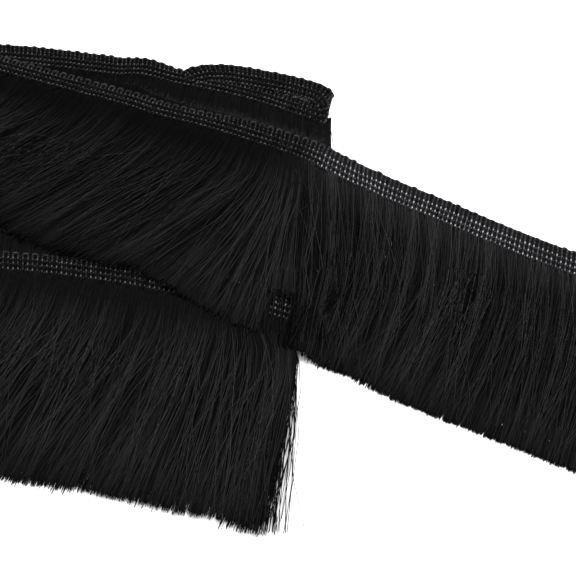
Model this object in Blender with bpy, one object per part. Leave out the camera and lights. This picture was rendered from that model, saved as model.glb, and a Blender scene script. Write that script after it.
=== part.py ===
"""Tassel fringe trim: one length of black brush fringe, folded back and forth in five runs.

A narrow knitted heading carries a curtain of straight yarn. The yarn is gathered in locks that grow
from a thin root strip along the heading's lower edge. The length begins at a cut end inside the
bundle, is folded over four times, and its last run leaves the bundle and ends in a second cut end.

Every size and place below is in millimetres, and MM turns it into metres where a vertex is made. The
plan of each run is seen from above, with +X to the right and +Y to the back. Directions are degrees
from +X, so -90 points to the front. The runs are laid one on another, from the table up.
"""

import math
import random
from typing import NamedTuple

import bmesh
import bpy
import numpy as np

MM = 0.001

# The trim
HEADING_WIDTH = 10.0
HEADING_THICKNESS = 1.8
ROW_GROOVE = 0.45  # how deep the grooves between the knitted rows are, on each face
ROW_RIDGES = (-4.0, -1.4, 1.0, 3.4)  # the selvedge and the three rows, from the back edge
STRIP_WIDTH = 3.0
STRIP_GAP = 0.4  # between the heading and the root strip
LONGEST_STRAND = 92.0
LENGTH_SPREAD = 2.0  # how much longer or shorter a lock may be
FREE_END_START = 185.0  # where the last run leaves the bundle, along the run

# The locks
LOCK_INSET = 0.35  # half of the gap between two locks
LOCK_TIP_INSET = 0.22  # share of its place that a lock leaves free on each side at the tip
LOCK_CROWN = 0.26  # share of a lock's width that its bevelled side takes
SWEEP_REACH = 0.4  # share of a strand in which it turns from its root to its tip direction
LOCK_HEIGHTS = (1.8, 2.2, 2.2, 1.5, 0.8)  # thickness from the root to the tip

# The bundle
LAYER_GAP = 0.5
CELL = 1.0  # grid of the heights on which the next run is laid
BAND_STEP = 10.0  # most that two of the heading's sections are apart
BAND_TURN = 7.0  # most degrees that the heading turns between two sections
FIRM_ROOT = 0.3  # share of a lock's first length that keeps the root strip's height
LOOK_AHEAD = 11.0  # the heading lies high enough for this much of its fringe
BAND_SLOPE = 0.24
LOCK_SLOPE = 0.30
FOLD_OPENING = 1.4  # between the two faces of the heading at a fold
FOLD_EASE = 9.0  # stretch in which the heading's sections turn to the fold's line
FOLD_SECTIONS = 5
STRAND_STEP = 1.5
CURVE_STEPS = 16
TANGENT_REACH = 1.5  # how far to each side the trim's direction is measured
LOCK_PROBES = 9  # points across a lock at which it is held clear of what lies below
SETTLE_ROUNDS = 60
SEED = 7

YARN_COLOUR = (0.011, 0.011, 0.012, 1.0)
HEADING_COLOUR = (0.016, 0.016, 0.017, 1.0)


class Sweep(NamedTuple):
    """How the strands lie where the heading passes this x: direction at the root and at the tip."""

    x: float
    root: float
    tip: float
    length: float


class Strip(NamedTuple):
    """A root strip and its locks: one node. Its ends are distances along the run, or from its end."""

    node: str
    start: float
    end: float
    pitch: float
    segments: int


class Run(NamedTuple):
    """One run of the trim between two folds or ends, in the direction of the trim."""

    name: str
    to_right: bool
    stops: tuple  # (x, y) along the heading's centre line
    sweeps: tuple
    strips: tuple


FRONT_LOWER = Run(
    "front_lower",
    True,
    ((-134, 35), (-96, 26.5), (-70, 17), (-45, 6), (-20, -4), (6.5, -14.5)),
    (Sweep(-140, -90, -97, 86), Sweep(-30, -88, -96, 82), Sweep(0, -88, -102, 80)),
    (Strip("fringe_front_lower", 1.0, -2.0, 6.5, 4),),
)
FRONT_UPPER = Run(
    "front_upper",
    False,
    ((6.5, -14.5), (-1, -11), (-25, -4.2), (-50, 1.2), (-91, 7.6), (-112, 9.9), (-146, 13)),
    (
        Sweep(-146, -100, -119, 85),
        Sweep(-50, -97, -115, 84.5),
        Sweep(-20, -94, -106, 84),
        Sweep(-6, -88, -101, 85),
        Sweep(3, -80, -103, 86),
    ),
    (Strip("fringe_front_upper", 2.5, -2.0, 4.0, 5),),
)
BACK_LOWER = Run(
    "back_lower",
    True,
    (
        (-146, 13),
        (-128, 18),
        (-105, 34),
        (-80, 62),
        (-66, 86),
        (-52, 105),
        (-32, 113),
        (-7, 108.3),
        (6.5, 104),
        (13.2, 101),
        (16.4, 96.7),
        (17.8, 90.8),
    ),
    (Sweep(-146, -92, -96, 84), Sweep(18, -90, -91, 85)),
    (Strip("fringe_back_lower", 2.0, -16.0, 6.5, 4),),
)
BACK_MIDDLE = Run(
    "back_middle",
    False,
    (
        (17.8, 90.8),
        (12.7, 90),
        (7, 92.6),
        (0, 95.9),
        (-13.9, 101.8),
        (-34, 108.2),
        (-60, 115),
        (-90, 120.5),
        (-120, 125),
        (-152, 127),
    ),
    (
        Sweep(-152, -104, -124, 83),
        Sweep(-100, -104, -136, 83),
        Sweep(-50, -102, -128, 84),
        Sweep(-10, -96, -110, 85),
        Sweep(18, -74, -91, 85),
    ),
    (Strip("fringe_back_middle", 5.5, -2.0, 5.5, 4),),
)
BACK_UPPER = Run(
    "back_upper",
    True,
    (
        (-152, 127),
        (-117.6, 114.3),
        (-84.5, 102.6),
        (-65, 95.4),
        (-49.5, 87.8),
        (-20.3, 77.9),
        (2.9, 68.3),
        (17.4, 60),
        (27.5, 55.1),
        (38, 51.2),
        (58.1, 41.1),
        (81.5, 27.9),
        (104.3, 16),
        (136, 1),
    ),
    (
        Sweep(-152, -106, -128, 84),
        Sweep(-100, -110, -143, 84),
        Sweep(-50, -108, -145, 81.5),
        Sweep(-28, -105, -144, 84),
        Sweep(-20, -104, -144, 84),
        Sweep(-12, -102, -141, 82.5),
        Sweep(-8, -101, -140, 80),
        Sweep(-3.3, -99, -127, 78),
        Sweep(0, -97, -118, 79),
        Sweep(6.6, -94, -101, 84),
        Sweep(6.9, -94, -100, 63),
        Sweep(11.5, -93, -95, 62),
        Sweep(11.8, -93, -94, 90),
        Sweep(14, -92, -92, 90.5),
        Sweep(18, -92, -92, 87.5),
        Sweep(22, -92, -92.5, 86),
        Sweep(27, -91.5, -93, 87),
        Sweep(39, -91, -94, 88),
        Sweep(50, -91, -97, 87.4),
        Sweep(70, -92, -103, 84.4),
        Sweep(85, -93, -105, 82.4),
        Sweep(97, -93, -105.5, 81),
        Sweep(136, -94, -107, 80),
    ),
    (
        Strip("fringe_back_upper", 2.0, FREE_END_START, 4.0, 5),
        Strip("fringe_free_end", FREE_END_START + STRIP_GAP, -0.5, 4.0, 5),
    ),
)

TRIM = (FRONT_LOWER, FRONT_UPPER, BACK_LOWER, BACK_MIDDLE, BACK_UPPER)
LAYING_ORDER = (BACK_LOWER, FRONT_LOWER, FRONT_UPPER, BACK_MIDDLE, BACK_UPPER)


def unit(degrees):
    """The direction of an angle, seen from above."""
    return np.array((math.cos(math.radians(degrees)), math.sin(math.radians(degrees))))


def smooth(share):
    """An even ease from 0 to 1."""
    share = min(max(share, 0.0), 1.0)
    return share * share * (3.0 - 2.0 * share)


class Line:
    """A smooth line through a run's stops, read by the distance along it."""

    def __init__(self, run):
        self.run = run
        stops = np.array(run.stops, float)
        first = 2.0 * stops[0] - stops[1]
        last = 2.0 * stops[-1] - stops[-2]
        guides = np.vstack((first, stops, last))
        points = []
        for index in range(1, len(stops)):
            a, b, c, d = guides[index - 1 : index + 3]
            for step in range(CURVE_STEPS):
                t = step / CURVE_STEPS
                points.append(
                    0.5
                    * (
                        2.0 * b
                        + (c - a) * t
                        + (2.0 * a - 5.0 * b + 4.0 * c - d) * t**2
                        + (3.0 * b - 3.0 * c + d - a) * t**3
                    )
                )
        points.append(stops[-1])
        self.points = np.array(points)
        steps = np.linalg.norm(np.diff(self.points, axis=0), axis=1)
        self.marks = np.concatenate(((0.0,), np.cumsum(steps)))
        self.length = self.marks[-1]

    def at(self, distance):
        """The centre line's point."""
        x = np.interp(distance, self.marks, self.points[:, 0])
        y = np.interp(distance, self.marks, self.points[:, 1])
        return np.array((x, y))

    def along(self, distance):
        """The direction of the trim."""
        ahead = self.at(min(distance + TANGENT_REACH, self.length))
        step = ahead - self.at(max(distance - TANGENT_REACH, 0.0))
        return step / np.linalg.norm(step)

    def back(self, distance):
        """The direction from the fringe to the selvedge."""
        x, y = self.along(distance)
        turned = np.array((-y, x))
        return turned if self.run.to_right else -turned

    def offset(self, distance, to_back):
        """A point beside the centre line."""
        return self.at(distance) + to_back * self.back(distance)

    def root(self, distance):
        """Where the locks leave the root strip."""
        return self.offset(distance, -(HEADING_WIDTH / 2 + STRIP_GAP + STRIP_WIDTH))

    def sweep(self, distance):
        """How a strand lies: its directions at the root and at the tip, and its length."""
        table = np.array(self.run.sweeps, float)
        x = self.at(distance)[0]
        return [np.interp(x, table[:, 0], table[:, column]) for column in (1, 2, 3)]

    def strand(self, distance, spare, count):
        """Points along a strand from its root to its tip, with spare added to its length."""
        root_angle, tip_angle, length = self.sweep(distance)
        length += spare
        steps = max(int(length / STRAND_STEP / count), 1) * count
        point = self.root(distance)
        points = [point]
        for step in range(steps):
            turned = smooth((step + 0.5) / steps / SWEEP_REACH)
            point = point + length / steps * unit(root_angle + (tip_angle - root_angle) * turned)
            if (step + 1) % (steps // count) == 0:
                points.append(point)
        return np.array(points)


class Heap:
    """The height of what already lies on the table, on a square grid."""

    def __init__(self, low, high):
        self.low = np.array(low)
        size = np.ceil((np.array(high) - self.low) / CELL).astype(int) + 1
        self.top = np.zeros(size)
        self.cover = np.zeros(size)

    def cells(self, points):
        """The grid cells in which the points lie."""
        index = np.round((np.asarray(points) - self.low) / CELL).astype(int)
        return index[..., 0], index[..., 1]

    def add(self, points, heights):
        """Note the tops of something that has been laid."""
        np.maximum.at(self.top, self.cells(points), heights)

    def settle(self):
        """Widen every top by a cell, so that what is laid next clears its edges."""
        wide = np.pad(self.top, 1)
        rows, columns = self.top.shape
        shifts = [wide[i : i + rows, j : j + columns] for i in range(3) for j in range(3)]
        self.cover = np.max(shifts, axis=0)

    def needed(self, points):
        """How high a run has to lie over the points: on the table, or clear of what is there."""
        cover = self.cover[self.cells(points)]
        return np.where(cover > 0.0, cover + LAYER_GAP, 0.0)


def laid(knots, places, needs, slope, fixed=None):
    """The lowest heights at the knots whose straight joins clear every need.

    Between two knots the run is straight, and it never climbs or drops more steeply than the slope. A
    lock's first height is fixed by its root strip, so its next one makes up for what is short.
    """
    heights = np.zeros(len(knots))
    if fixed is not None:
        heights[0] = fixed
    spans = np.clip(np.searchsorted(knots, places, side="right") - 1, 0, len(knots) - 2)
    shares = (places - knots[spans]) / (knots[spans + 1] - knots[spans])
    for _ in range(SETTLE_ROUNDS):
        for span in range(len(knots) - 1):
            inside = spans == span
            if not inside.any():
                continue
            share = shares[inside]
            short = needs[inside] - heights[span] * (1.0 - share) - heights[span + 1] * share
            rooted = span == 0 and fixed is not None
            if rooted:
                short = np.where(share < FIRM_ROOT, 0.0, short)
            worst = int(np.argmax(short))
            if short[worst] <= 0.0:
                continue
            later = share[worst]
            if rooted:
                heights[1] += short[worst] / later
            else:
                weight = (1.0 - later) ** 2 + later**2
                heights[span] += short[worst] * (1.0 - later) / weight
                heights[span + 1] += short[worst] * later / weight
    falls = slope * np.diff(knots)
    for index in range(1, len(knots)):
        heights[index] = max(heights[index], heights[index - 1] - falls[index - 1])
    if fixed is None:
        for index in range(len(knots) - 2, -1, -1):
            heights[index] = max(heights[index], heights[index + 1] - falls[index])
    return heights


class Band:
    """The heading and root strip of one run, laid on the heap."""

    def __init__(self, line, heap, ends):
        self.line = line
        self.knots = self.sections(line)
        places = np.linspace(0.0, line.length, int(line.length) + 1)
        front = HEADING_WIDTH / 2 + STRIP_GAP + STRIP_WIDTH + LOOK_AHEAD
        across = np.linspace(-front, HEADING_WIDTH / 2, int(front + HEADING_WIDTH / 2) + 1)
        needs = np.array([heap.needed([line.offset(s, c) for c in across]).max() for s in places])
        self.heights = laid(self.knots, places, needs, BAND_SLOPE)
        for index, partner in ends.items():
            lift = partner + HEADING_THICKNESS + FOLD_OPENING
            self.heights[index] = max(self.heights[index], lift)

    @staticmethod
    def sections(line):
        """Where the heading's sections stand, closer together where it turns."""
        knots = [0.0]
        for distance in np.arange(1.0, line.length - BAND_STEP / 4, 1.0):
            reach = distance - knots[-1]
            straight = np.dot(line.along(distance), line.along(knots[-1]))
            turned = straight < math.cos(math.radians(BAND_TURN))
            if reach >= BAND_STEP or (turned and reach >= BAND_STEP / 4):
                knots.append(distance)
        knots.append(line.length)
        return np.array(knots)

    def height(self, distance):
        """The height of the band's underside."""
        return float(np.interp(distance, self.knots, self.heights))

    def note(self, heap):
        """Add the band's top to the heap."""
        edge = HEADING_WIDTH / 2
        front = edge + STRIP_GAP + STRIP_WIDTH
        for distance in np.arange(0.0, self.line.length, CELL / 2):
            points = [self.line.offset(distance, c) for c in np.arange(-front, edge + 0.1, CELL / 2)]
            heap.add(points, self.height(distance) + HEADING_THICKNESS)


class Lock:
    """One lock of the fringe: four corners at each section from its root to its tip."""

    def __init__(self, band, start, end, segments, spare, heap):
        line = band.line
        left = line.strand(start, spare, segments)
        right = line.strand(end, spare, segments)
        length = line.sweep((start + end) / 2)[2] + spare
        shares = np.linspace(0.0, 1.0, segments + 1)
        widths = np.linalg.norm(right - left, axis=1)
        insets = np.maximum(LOCK_INSET / widths, LOCK_TIP_INSET * shares**3)
        insets = insets[:, None]
        self.left = left + (right - left) * insets
        self.right = right - (right - left) * insets
        self.thickness = np.interp(shares, np.linspace(0.0, 1.0, len(LOCK_HEIGHTS)), LOCK_HEIGHTS)
        self.knots = shares * length
        self.places = np.arange(0.0, length, CELL / 2)
        rows = np.array([self.footprint(place) for place in self.places])
        needs = heap.needed(rows).max(axis=1)
        root = band.height((start + end) / 2)
        self.heights = laid(self.knots, self.places, needs, LOCK_SLOPE, fixed=root)

    def footprint(self, place):
        """Points across the lock at a distance from its root."""
        left = [np.interp(place, self.knots, self.left[:, axis]) for axis in (0, 1)]
        right = [np.interp(place, self.knots, self.right[:, axis]) for axis in (0, 1)]
        shares = np.linspace(0.0, 1.0, LOCK_PROBES)[:, None]
        return np.array(left) * (1.0 - shares) + np.array(right) * shares

    def note(self, heap):
        """Add the lock's top to the heap."""
        tops = np.interp(self.places, self.knots, self.heights + self.thickness)
        for place, top in zip(self.places, tops):
            heap.add(self.footprint(place), top)

    def corners(self, index):
        """The section's corners from the low left round to the high left, with the top narrowed."""
        left = self.left[index]
        right = self.right[index]
        crown = LOCK_CROWN if index else 0.0
        low = self.heights[index]
        high = low + self.thickness[index]
        upper_left = left + (right - left) * crown
        upper_right = right - (right - left) * crown
        return ((*left, low), (*right, low), (*upper_right, high), (*upper_left, high))


class Fringe:
    """A root strip with its locks."""

    def __init__(self, strip, band, heap, chance):
        self.strip = strip
        self.band = band
        length = band.line.length
        end = strip.end if strip.end > 0.0 else length + strip.end
        count = int(round((end - strip.start) / strip.pitch))
        edges = np.linspace(strip.start, end, count + 1)
        self.locks = []
        for start, stop in zip(edges[:-1], edges[1:]):
            spare = chance.uniform(-LENGTH_SPREAD, LENGTH_SPREAD)
            self.locks.append(Lock(band, start, stop, strip.segments, spare, heap))
        self.edges = edges

    def note(self, heap):
        """Add every lock to the heap."""
        for lock in self.locks:
            lock.note(heap)

    def strip_section(self, distance):
        """The strip's corners at a distance along the run: back low, back high, front high, front low."""
        line = self.band.line
        back = line.offset(distance, -(HEADING_WIDTH / 2 + STRIP_GAP))
        front = line.root(distance)
        low = self.band.height(distance)
        high = low + HEADING_THICKNESS
        return ((*back, low), (*back, high), (*front, high), (*front, low))

    def mesh(self, shell):
        """Grow the strip, then each lock out of the strip's front face."""
        rows = []
        for start, stop, lock in zip(self.edges[:-1], self.edges[1:], self.locks):
            share = LOCK_INSET / np.linalg.norm(self.band.line.root(stop) - self.band.line.root(start))
            for distance in (start + (stop - start) * share, stop - (stop - start) * share):
                corners = self.strip_section(distance)
                rows.append([shell.verts.new(np.array(corner) * MM) for corner in corners])
        for index, (row, following) in enumerate(zip(rows[:-1], rows[1:])):
            for side in (0, 1, 3):
                after = (side + 1) % 4
                shell.faces.new((row[side], row[after], following[after], following[side]))
            face = shell.faces.new((row[3], following[3], following[2], row[2]))
            if index % 2 == 0:
                self.grow(shell, face, self.locks[index // 2])
        shell.faces.new(rows[0])
        shell.faces.new(rows[-1])

    @staticmethod
    def grow(shell, face, lock):
        """Extrude a lock from a face of the strip, section by section."""
        for index in range(1, len(lock.knots)):
            grown = bmesh.ops.extrude_discrete_faces(shell, faces=[face])
            face = grown["faces"][0]
            for vertex, corner in zip(face.verts, lock.corners(index)):
                vertex.co = np.array(corner) * MM


def heading_profile():
    """Half of the heading's section, from the back edge to the front edge, as (across, height)."""
    edge = HEADING_WIDTH / 2
    high = HEADING_THICKNESS / 2
    low = high - ROW_GROOVE
    points = [(edge, 0.0)]
    for index, ridge in enumerate(ROW_RIDGES):
        points.append((-ridge, high))
        if index + 1 < len(ROW_RIDGES):
            points.append((-(ridge + ROW_RIDGES[index + 1]) / 2, low))
    points.append((-edge, 0.0))
    return points


def heading_ring(centre, back, normal):
    """The corners of the heading's section at one place."""
    upper = heading_profile()
    lower = [(across, -height) for across, height in reversed(upper[1:-1])]
    return [centre + across * back + height * normal for across, height in upper + lower]


def fold_line(line, following):
    """The direction of the line on which one run turns over into the next."""
    towards = line.back(line.length) + following.back(0.0)
    return towards / np.linalg.norm(towards)


def run_rings(band, face, start_fold, end_fold):
    """The heading's sections along a run, turned towards the fold's line near a fold."""
    line = band.line
    rings = []
    for distance, low in zip(band.knots, band.heights):
        back = line.back(distance)
        for fold, away in ((start_fold, distance), (end_fold, line.length - distance)):
            if fold is not None and away < FOLD_EASE:
                share = 1.0 - smooth(away / FOLD_EASE)
                turned = back * (1.0 - share) + fold * share
                turned = turned / np.linalg.norm(turned)
                back = turned / np.dot(turned, line.back(distance))
        centre = np.array((*line.at(distance), low + HEADING_THICKNESS / 2))
        rings.append(heading_ring(centre, np.array((*back, 0.0)), np.array((0.0, 0.0, face))))
    return rings


def fold_rings(band, following, face, fold):
    """The heading's sections around a fold, from the end of one run to the start of the next."""
    start = band.heights[-1] + HEADING_THICKNESS / 2
    end = following.heights[0] + HEADING_THICKNESS / 2
    middle = (start + end) / 2
    radius = abs(end - start) / 2
    rising = 1.0 if end > start else -1.0
    outward = np.array((-fold[1], fold[0]))
    if np.dot(outward, band.line.along(band.line.length)) < 0.0:
        outward = -outward
    back = fold / np.dot(fold, band.line.back(band.line.length))
    place = band.line.at(band.line.length)
    rings = []
    for step in range(1, FOLD_SECTIONS + 1):
        angle = math.pi * (step / (FOLD_SECTIONS + 1) - 0.5)
        radial = np.array((*(outward * math.cos(angle)), rising * math.sin(angle)))
        centre = np.array((*place, middle)) + radius * radial
        rings.append(heading_ring(centre, np.array((*back, 0.0)), -face * rising * radial))
    return rings


def loft(shell, rings):
    """Skin the sections and close both ends."""
    rows = [[shell.verts.new(point * MM) for point in ring] for ring in rings]
    for row, following in zip(rows[:-1], rows[1:]):
        for side in range(len(row)):
            after = (side + 1) % len(row)
            shell.faces.new((row[side], row[after], following[after], following[side]))
    shell.faces.new(rows[0])
    shell.faces.new(rows[-1])


def plain_material(name, colour, roughness):
    """A plain yarn finish."""
    material = bpy.data.materials.new(name)
    material.use_nodes = True
    shader = material.node_tree.nodes["Principled BSDF"]
    shader.inputs["Base Color"].default_value = colour
    shader.inputs["Roughness"].default_value = roughness
    shader.inputs["Metallic"].default_value = 0.0
    return material


def add_object(name, shell, material):
    """Turn a finished shell into a named object."""
    bmesh.ops.recalc_face_normals(shell, faces=shell.faces)
    mesh = bpy.data.meshes.new(name)
    shell.to_mesh(mesh)
    shell.free()
    mesh.materials.append(material)
    piece = bpy.data.objects.new(name, mesh)
    bpy.context.scene.collection.objects.link(piece)
    return piece


def lay_trim():
    """Lay every run from the table up."""
    lines = {run.name: Line(run) for run in TRIM}
    corners = np.vstack([line.points for line in lines.values()])
    reach = LONGEST_STRAND + HEADING_WIDTH + STRIP_WIDTH + LENGTH_SPREAD + 5.0
    heap = Heap(corners.min(axis=0) - reach, corners.max(axis=0) + reach)
    chance = random.Random(SEED)
    bands = {}
    fringes = []
    for run in LAYING_ORDER:
        place = TRIM.index(run)
        ends = {}
        if place > 0 and TRIM[place - 1].name in bands:
            ends[0] = bands[TRIM[place - 1].name].heights[-1]
        if place + 1 < len(TRIM) and TRIM[place + 1].name in bands:
            ends[-1] = bands[TRIM[place + 1].name].heights[0]
        band = Band(lines[run.name], heap, ends)
        bands[run.name] = band
        laid_now = [Fringe(strip, band, heap, chance) for strip in run.strips]
        fringes.extend(laid_now)
        band.note(heap)
        for fringe in laid_now:
            fringe.note(heap)
        heap.settle()
    return bands, fringes


def heading_rings(bands):
    """The heading's sections from the first cut end to the last."""
    ordered = [bands[run.name] for run in TRIM]
    folds = [fold_line(a.line, b.line) for a, b in zip(ordered[:-1], ordered[1:])]
    rings = []
    face = 1.0
    for index, band in enumerate(ordered):
        start_fold = folds[index - 1] if index else None
        end_fold = folds[index] if index < len(folds) else None
        rings.extend(run_rings(band, face, start_fold, end_fold))
        if end_fold is not None:
            rings.extend(fold_rings(band, ordered[index + 1], face, end_fold))
            face = -face
    return rings


def centre_on_origin(pieces):
    """Bring the middle of the whole underside to the origin."""
    points = np.vstack([[vertex.co for vertex in piece.data.vertices] for piece in pieces])
    low = points.min(axis=0)
    high = points.max(axis=0)
    middle = np.array(((low[0] + high[0]) / 2, (low[1] + high[1]) / 2, low[2]))
    for piece in pieces:
        for vertex in piece.data.vertices:
            vertex.co = np.array(vertex.co) - middle


def main():
    """Build the heading and the fringe of every run."""
    for item in list(bpy.data.objects):
        bpy.data.objects.remove(item, do_unlink=True)
    bands, fringes = lay_trim()
    pieces = []
    shell = bmesh.new()
    loft(shell, heading_rings(bands))
    pieces.append(add_object("heading", shell, plain_material("heading_yarn", HEADING_COLOUR, 0.5)))
    yarn = plain_material("fringe_yarn", YARN_COLOUR, 0.45)
    for fringe in fringes:
        shell = bmesh.new()
        fringe.mesh(shell)
        name = fringe.strip.node
        pieces.append(add_object(name, shell, yarn.copy()))
    centre_on_origin(pieces)


main()
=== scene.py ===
"""Tassel fringe trim: the finished look of one length of black brush fringe, folded into five runs.

The knitted heading becomes a thin ribbon with chain stitches, weft threads and a looped selvedge. Every
root strip and its locks become thousands of fine strands, gathered in wisps. Plans and lengths are in
millimetres, and MM turns them into metres where a mesh is made. Directions are degrees from +X, so -90
points to the front. An array has one row for each strand, stitch or place, and x, y, z in its last axis.
"""

import logging
import math
from dataclasses import dataclass, field
from enum import Enum

import bmesh
import bpy
import numpy as np
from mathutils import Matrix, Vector
from mathutils.bvhtree import BVHTree


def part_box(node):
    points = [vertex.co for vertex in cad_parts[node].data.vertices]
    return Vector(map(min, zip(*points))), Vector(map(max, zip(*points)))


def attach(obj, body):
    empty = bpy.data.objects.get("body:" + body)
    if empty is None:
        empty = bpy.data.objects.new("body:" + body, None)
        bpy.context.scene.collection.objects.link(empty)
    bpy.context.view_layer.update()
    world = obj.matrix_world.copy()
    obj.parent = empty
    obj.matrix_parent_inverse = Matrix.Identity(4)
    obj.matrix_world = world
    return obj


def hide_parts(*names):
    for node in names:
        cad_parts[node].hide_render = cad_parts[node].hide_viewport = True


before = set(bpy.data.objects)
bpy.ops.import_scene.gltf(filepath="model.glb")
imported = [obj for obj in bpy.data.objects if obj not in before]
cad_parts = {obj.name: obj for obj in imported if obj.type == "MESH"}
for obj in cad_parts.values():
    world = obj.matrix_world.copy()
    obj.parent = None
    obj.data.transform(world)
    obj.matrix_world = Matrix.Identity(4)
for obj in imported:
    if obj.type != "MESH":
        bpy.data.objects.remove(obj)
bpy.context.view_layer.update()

LOG = logging.getLogger("tassel_fringe_trim")
MM = 0.001
BODY = "root"
FIRST_SEED = 102

HEADING_WIDTH = 10.0
HALF_WIDTH = HEADING_WIDTH / 2
HEADING_THICKNESS = 1.8
HEADING_GROOVE = 0.45
STRIP_WIDTH = 3.0
STRIP_GAP = 0.4
FREE_END_START = 185.0
COURSE = 1.95  # one stitch of the heading
UP = np.array((0.0, 0.0, 1.0))
ABOVE_ALL = 40.0

FRONT_FOLD = (6.5, -14.5)
LEFT_FOLD = (-146, 13)
BACK_FOLD = (17.8, 90.8)
UPPER_FOLD = (-152, 127)

Array = np.ndarray
Colour = tuple[float, float, float, float]
Size = tuple[float, float, float]
Rows = tuple[tuple[float, ...], ...]
Socket = bpy.types.NodeSocket


class Slot(Enum):
    """The record's material slots."""

    HEADING = "heading_yarn"
    FRINGE = "fringe_yarn"


@dataclass(frozen=True)
class FringePlan:
    """The fringe of one CAD node.

    It has its stretch of the run, how many strands grow in each millimetre, and how much painted light
    makes the roots lighter than the rest where the heading is pulled straight.
    """

    node: str
    start: float
    end: float
    density: float
    # Painted light on the roots where the heading is pulled straight.
    root_painted_light: float = 0.0


@dataclass(frozen=True)
class RunPlan:
    """One run of the trim between two folds or ends, in the direction of the trim.

    A stop is a place on its centre line. A sweep says how the yarn lies where the heading passes an x:
    that x, the strands' root and tip directions and their length. A droop has an x, the angle to which
    the face curves down there at the selvedge, and how far the whole width is lifted. The skew turns
    the line of the fold at the run's end.
    """

    to_right: bool
    stops: Rows
    sweeps: Rows
    fringes: tuple[FringePlan, ...]
    droops: Rows = ((0, 0, 0),)
    skew: float = 0.0


FRONT_LOWER = RunPlan(
    True,
    ((-134, 35), (-96, 26.5), (-70, 17), (-45, 6), (-20, -4), FRONT_FOLD),
    ((-140, -90, -97, 86), (-30, -88, -96, 82), (0, -88, -102, 80)),
    (FringePlan("fringe_front_lower", 0.6, -1.3, 11),),
)
FRONT_UPPER = RunPlan(
    False,
    (FRONT_FOLD, (-1, -11), (-25, -4.2), (-50, 1.2), (-91, 7.6), (-112, 9.9), LEFT_FOLD),
    (
        (-146, -100, -119, 85), (-50, -97, -115, 84.5), (-24, -94, -106, 84), (-17, -88, -104, 84),
        (-12, -66, -102, 85), (-8, -60, -102, 86), (-3, -70, -103, 86), (3, -80, -104.5, 86),
    ),
    (FringePlan("fringe_front_upper", 1.6, -0.8, 24),),
    ((-66, 38, 0), (-20, 0, 0)),
)
BACK_LOWER = RunPlan(
    True,
    (
        LEFT_FOLD, (-128, 18), (-105, 34), (-80, 62), (-66, 86), (-52, 105), (-32, 113), (-7, 108.3),
        (6.5, 104), (13.2, 101), (16.4, 96.7), BACK_FOLD,
    ),
    ((-146, -92, -96, 84), (18, -90, -91, 85)),
    (FringePlan("fringe_back_lower", 1, -2, 7.5),),
    skew=-0.58,
)
BACK_MIDDLE = RunPlan(
    False,
    (
        BACK_FOLD, (12.7, 90), (7, 92.6), (0, 95.9), (-13.9, 101.8), (-34, 108.2), (-60, 115),
        (-90, 120.5), (-120, 125), UPPER_FOLD,
    ),
    (
        (-152, -104, -124, 83), (-100, -104, -136, 83), (-50, -102, -128, 84), (-10, -96, -110, 85),
        (9, -88, -97, 85), (17, -93, -92, 85),
    ),
    (FringePlan("fringe_back_middle", 1.5, -0.8, 12.8),),
    ((-80, 0, 2), (-62, 12, 2), (-50, 30, 0), (-32, 36, 0)),
)
BACK_UPPER = RunPlan(
    True,
    (
        UPPER_FOLD, (-117.6, 114.3), (-84.5, 102.6), (-65, 95.4), (-49.5, 87.8), (-20.3, 77.9),
        (2.9, 68.3), (17.4, 60), (27.5, 55.1), (38, 51.2), (58.1, 41.1), (81.5, 27.9), (104.3, 16),
        (136, 1),
    ),
    (
        (-152, -112, -128, 84), (-100, -124, -142, 84), (-50, -122, -144, 81.5), (-28, -116, -143, 84),
        (-20, -112, -143, 84), (-12, -106, -141, 82.5), (-8, -103, -140, 80), (-3.3, -99, -127, 78),
        (0, -97, -118, 79), (6.6, -94, -101, 84), (6.9, -94, -100, 64.5), (12, -93, -94, 63.8),
        (12.3, -91, -94, 86), (14, -90.5, -95.5, 85.6), (18, -90, -99, 84.2), (22, -89.5, -102.5, 84),
        (27, -89.5, -105, 83.9), (39, -90.5, -108.5, 84), (50, -93, -113, 82.7),
        (70, -98, -117, 82.4), (85, -100, -116, 81.2), (97, -99, -114.5, 80.6), (116, -98, -113, 80.5),
        (136, -95, -109, 81.2),
    ),
    (
        FringePlan("fringe_back_upper", 0.8, FREE_END_START, 21.8, 0.95),
        FringePlan("fringe_free_end", FREE_END_START, -0.2, 29, 0.95),
    ),
    (
        (-89, 38, 2.3), (-82, 38, 1), (-75, 38, -0.8), (-68, 38, -1.7), (-61, 40, -0.2),
        (-54, 42, 0.9), (-38, 44, 1.5), (-14, 0, 0),
    ),
)
TRIM = (FRONT_LOWER, FRONT_UPPER, BACK_LOWER, BACK_MIDDLE, BACK_UPPER)

STRAYS = (  # the stops of each long hair that lies across the others
    ((-120, 74), (-111.8, 76), (-103, 75.1), (-96.7, 71.6), (-91, 67.2)),
    ((2.9, 53.5), (5.3, 47.7), (8.5, 44.1), (13, 42.3)),
    ((15.9, 43.6), (10.5, 38.7), (6, 33.6), (2.8, 29.2)),
    ((3.6, 34.6), (6.4, 27.9), (8.3, 19.9), (9.9, 13.3), (11.2, 2.5)),
    ((-41.2, -17.8), (-36.8, -30.2), (-33.5, -39.4), (-32.3, -50.1)),
    ((-34.9, -61.1), (-34.1, -70), (-33.3, -76.5), (-31, -88.7)),
    ((-17.3, -66.1), (-12.9, -69.8), (-7.1, -73.4), (-1.1, -79.5)),
    ((-1.1, -66.4), (-6.4, -70.6), (-11.8, -76), (-14.9, -79.5)),
    ((24.9, -3), (26.8, -15.9), (25.7, -28.3), (27.5, -40.9)),
    ((63.6, -21.6), (65.4, -34), (67.3, -46.1), (66, -56)),
    ((-87.7, -9.5), (-88.9, -24.6), (-85.6, -37.8), (-87.4, -50.1)),
    ((-56.3, 44.9), (-60.6, 33.3), (-66.6, 20.3), (-70.1, 6.1)),
)


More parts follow.
